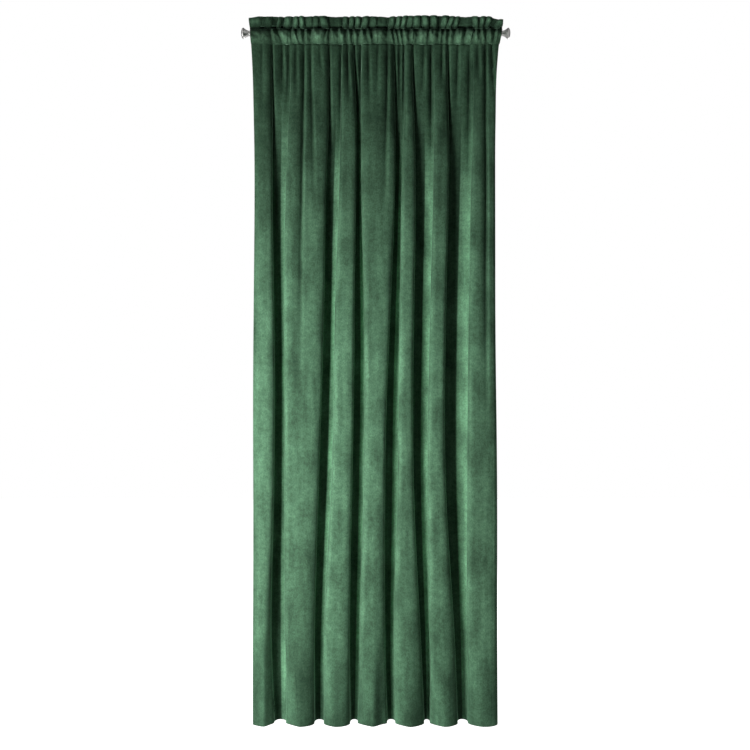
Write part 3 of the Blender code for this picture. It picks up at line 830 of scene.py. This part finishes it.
def makeFloor():
    bm = bmesh.new()
    bmesh.ops.create_grid(bm, x_segments=8, y_segments=8, size=floorLook["size"] / 2)
    mesh = bpy.data.meshes.new("studio floor")
    bm.to_mesh(mesh)
    bm.free()
    floor = bpy.data.objects.new("studio_floor", mesh)
    floor.location = (0, 0, hemZ - floorLook["below"])
    bpy.context.scene.collection.objects.link(floor)
    paint, tree, shader = newMaterial("pale floor")
    shader.inputs["Base Color"].default_value = (*floorLook["colour"], 1)
    shader.inputs["Roughness"].default_value = 0.9
    shader.inputs["Emission Color"].default_value = (1, 1, 1, 1)
    rays = tree.nodes.new("ShaderNodeLightPath")
    inMetal = mathNode(tree, "MULTIPLY", rays.outputs["Is Glossy Ray"], floorLook["inMetal"])
    seen = mathNode(tree, "MAXIMUM", rays.outputs["Is Camera Ray"], inMetal)
    tree.links.new(seen, shader.inputs["Emission Strength"])
    mesh.materials.append(paint)


velvetLook = {
    "roughness": 0.85,
    "specular": 0.02,
    "sheen": 1.0,
    "sheenRoughness": 0.30,
    "sheenTint": (0.50, 0.86, 0.60),
    # streaks, bruises, crushed spots and fine mottle: scale, stretch, detail, darkest, lightest
    "mottle": [
        (60.0, (1.0, 1.0, 0.06), 3.0, 0.86, 1.14),
        (15.0, (1.0, 1.0, 0.45), 6.0, 0.62, 1.30),
        (55.0, (1.0, 1.0, 1.30), 4.0, 0.84, 1.16),
        (230.0, (1.0, 1.0, 0.70), 3.0, 0.78, 1.22),
    ],
    "pileScale": 900.0,
    "pileBump": 0.35,
    "pileHeight": 0.0006,
}
# The pile's colour at a few heights, from the hem up, with painted shade: darkest under the pocket,
# lightest in the middle and darker again towards the hem
dropColoursAndShade = [
    (hemZ, (0.050, 0.110, 0.064)),
    (-2.25, (0.067, 0.145, 0.084)),
    (-1.75, (0.080, 0.172, 0.100)),
    (-1.05, (0.076, 0.165, 0.096)),
    (-0.55, (0.054, 0.116, 0.068)),
    (-0.19, (0.040, 0.087, 0.051)),
    (-0.09, (0.038, 0.082, 0.048)),
    (lowerSeamZ, (0.034, 0.073, 0.043)),
]
# The header's colour at a few heights, from the lower seam up, with painted light on the pocket's lower
# part and painted shade in a dark band across the upper seam
headerColoursAndShade = [
    (lowerSeamZ, (0.070, 0.145, 0.086)),
    (lowerSeamZ + 0.020, (0.096, 0.194, 0.116)),
    (upperSeamZ - 0.015, (0.078, 0.160, 0.096)),
    (upperSeamZ - 0.006, (0.028, 0.060, 0.036)),
    (upperSeamZ + 0.005, (0.040, 0.086, 0.051)),
    (upperSeamZ + 0.016, (0.078, 0.165, 0.097)),
    (frillTopZ, (0.062, 0.134, 0.079)),
]


def velvet(name, colours):
    material, tree, shader = newMaterial(name)
    place = objectPlace(tree)
    split = tree.nodes.new("ShaderNodeSeparateXYZ")
    tree.links.new(place, split.inputs[0])
    foot, top = colours[0][0], colours[-1][0]
    stops = [((height - foot) / (top - foot), colour) for height, colour in colours]
    # the colour by height, with the painted shade it carries
    baseTone = rampNode(tree, mapped(tree, split.outputs["Z"], foot, top, 0.0, 1.0), stops)
    # the painted shading on the points multiplies the colour
    shadingLayer = tree.nodes.new("ShaderNodeAttribute")
    shadingLayer.attribute_name = "paintedShading"
    strength = shadingLayer.outputs["Fac"]
    for scale, stretch, detail, low, high in velvetLook["mottle"]:
        noise = noiseNode(tree, stretched(tree, place, stretch), scale, detail)
        strength = mathNode(tree, "MULTIPLY", strength, mapped(tree, noise, 0.3, 0.7, low, high))
    tree.links.new(shaded(tree, baseTone, strength), shader.inputs["Base Color"])
    shader.inputs["Roughness"].default_value = velvetLook["roughness"]
    shader.inputs["Specular IOR Level"].default_value = velvetLook["specular"]
    shader.inputs["Sheen Weight"].default_value = velvetLook["sheen"]
    shader.inputs["Sheen Roughness"].default_value = velvetLook["sheenRoughness"]
    shader.inputs["Sheen Tint"].default_value = (*velvetLook["sheenTint"], 1)
    pile = noiseNode(tree, place, velvetLook["pileScale"])
    addBump(tree, shader, pile, velvetLook["pileBump"], velvetLook["pileHeight"])
    return material


wovenLook = {
    "thread": (0.052, 0.112, 0.066),
    "shadow": 0.65,            # between the threads, against their colour
    "crown": 1.15,             # on top of them
    "pitch": 0.0011,
    "roughness": 0.78,
    "specular": 0.15,
    "sheen": 0.25,
    "sheenRoughness": 0.5,
    "slubScale": 40.0,
    "bump": 0.5,
    "height": 0.0003,
}


def wovenBack(name):
    # the pile's plain woven ground, seen from behind
    material, tree, shader = newMaterial(name)
    place = objectPlace(tree)
    threads = []
    for stretch in ((1.0, 1.0, 0.0), (0.0, 0.0, 1.0)):
        wave = tree.nodes.new("ShaderNodeTexWave")
        wave.bands_direction = "DIAGONAL"
        wave.inputs["Scale"].default_value = 0.55 / wovenLook["pitch"]
        wave.inputs["Distortion"].default_value = 0.6
        tree.links.new(stretched(tree, place, stretch), wave.inputs["Vector"])
        threads.append(wave.outputs["Fac"])
    weave = mathNode(tree, "MULTIPLY", *threads)
    slub = mapped(tree, noiseNode(tree, place, wovenLook["slubScale"], 5.0), 0.3, 0.7, 0.8, 1.2)
    colour = tree.nodes.new("ShaderNodeMixRGB")
    for socket, tone in (("Color1", wovenLook["shadow"]), ("Color2", wovenLook["crown"])):
        colour.inputs[socket].default_value = (*[c * tone for c in wovenLook["thread"]], 1)
    tree.links.new(weave, colour.inputs["Fac"])
    tree.links.new(shaded(tree, colour.outputs["Color"], slub), shader.inputs["Base Color"])
    shader.inputs["Roughness"].default_value = wovenLook["roughness"]
    shader.inputs["Specular IOR Level"].default_value = wovenLook["specular"]
    shader.inputs["Sheen Weight"].default_value = wovenLook["sheen"]
    shader.inputs["Sheen Roughness"].default_value = wovenLook["sheenRoughness"]
    shader.inputs["Sheen Tint"].default_value = (*velvetLook["sheenTint"], 1)
    addBump(tree, shader, weave, wovenLook["bump"], wovenLook["height"])
    return material


threadLook = {"shadow": (0.016, 0.040, 0.024), "light": (0.034, 0.078, 0.046), "twist": 1500.0}


def sewingThread(name):
    material, tree, shader = newMaterial(name)
    twist = noiseNode(tree, objectPlace(tree), threadLook["twist"])
    baseTone = rampNode(tree, twist, [(0.0, threadLook["shadow"]), (1.0, threadLook["light"])])
    tree.links.new(baseTone, shader.inputs["Base Color"])
    shader.inputs["Roughness"].default_value = 0.75
    shader.inputs["Specular IOR Level"].default_value = 0.1
    return material


nickelLook = {"colour": (0.82, 0.81, 0.79), "roughness": 0.34, "grain": 240.0}


def polishedMetal(name, look):
    material, tree, shader = newMaterial(name)
    shader.inputs["Base Color"].default_value = (*look["colour"], 1)
    shader.inputs["Metallic"].default_value = 1.0
    grain = noiseNode(tree, objectPlace(tree), look["grain"], 3.0)
    uneven = mapped(tree, grain, 0.0, 1.0, look["roughness"] * 0.7, look["roughness"] * 1.4)
    tree.links.new(uneven, shader.inputs["Roughness"])
    return material


nylonLook = {"colour": (0.78, 0.78, 0.75), "roughness": 0.42, "subsurface": 0.1}


def nylon(name):
    material, tree, shader = newMaterial(name)
    shader.inputs["Base Color"].default_value = (*nylonLook["colour"], 1)
    shader.inputs["Roughness"].default_value = nylonLook["roughness"]
    shader.inputs["Subsurface Weight"].default_value = nylonLook["subsurface"]
    return material


dropFace = velvet("green velvet", dropColoursAndShade)
headerFace = velvet("green velvet, header", headerColoursAndShade)
clothBack = wovenBack("velvet ground, woven")
thread = sewingThread("dark green thread")
nickel = polishedMetal("polished nickel", nickelLook)
whiteNylon = nylon("white nylon")
print("materials mixed")

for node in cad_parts.values():
    finish = whiteNylon if any(w in node.name for w in ("liner", "spigot", "bush", "glide")) else nickel
    node.data.materials.clear()
    node.data.materials.append(finish)

panelPiece, leadingHem, bodyPoints, stripPoints = makePanel()
pocketFront = makePocketFront()
pocketBack = makePocketBack()
ruffle = makeFrill()
print("cloth shaped")

for piece in (panelPiece, leadingHem, pocketFront, pocketBack, ruffle):
    face = dropFace if piece in (panelPiece, leadingHem) else headerFace
    piece.data.materials.append(face)
    piece.data.materials.append(clothBack)
    thicken(piece, panel["thickness"])


def seamRun(share):
    # a line of points on the pocket's face, share of the way from the upper seam to the lower
    x, y, z, pile = pocketRows([share])
    return stack(x, y, z)[0]


toRoom, toWindow = (0, -1, 0), (0, 1, 0)
pocketStitches = makeStitches("pocket_stitches", [(seamRun(0.925), toRoom), (seamRun(0.05), toRoom)])
# One run just under the hem's turned top and one down the turned side hem
behind = np.array([0, sewing["behind"], 0])
hemStitches = makeStitches("hem_stitches", [
    (bodyPoints[-2, :-4] + behind, toWindow),    # it stops short of the leading hem
    (bodyPoints[2:, 1] + behind, toWindow),
])
leadingStitches = makeStitches("leading_hem_stitches", [
    (stripPoints[-2] + behind, toWindow),
    (stripPoints[2:, -2] + behind, toWindow),
])
for piece in (pocketStitches, hemStitches, leadingStitches):
    piece.data.materials.append(thread)
print("seams and hems sewn")

# The leading hem moves with its own body
for piece in (leadingHem, leadingStitches):
    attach(piece, "leading_edge")
for piece in (panelPiece, pocketFront, ruffle, pocketStitches, hemStitches):
    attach(piece, "curtain")
    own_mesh(piece)
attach(pocketBack, "curtain")
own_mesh(pocketBack)

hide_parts("curtain_drop", "bottom_hem", "side_hem_left")
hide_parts("side_hem_right")
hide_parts("rod_pocket_front")
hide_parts("rod_pocket_back")
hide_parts("header_frill")
print("pieces hung on the pole")

makeWorld()
makeFloor()
makeCamera()
for name, box in softboxes.items():
    makeSoftbox(name, **box)
bpy.context.scene.view_settings.view_transform = "Standard"
print("studio lit")
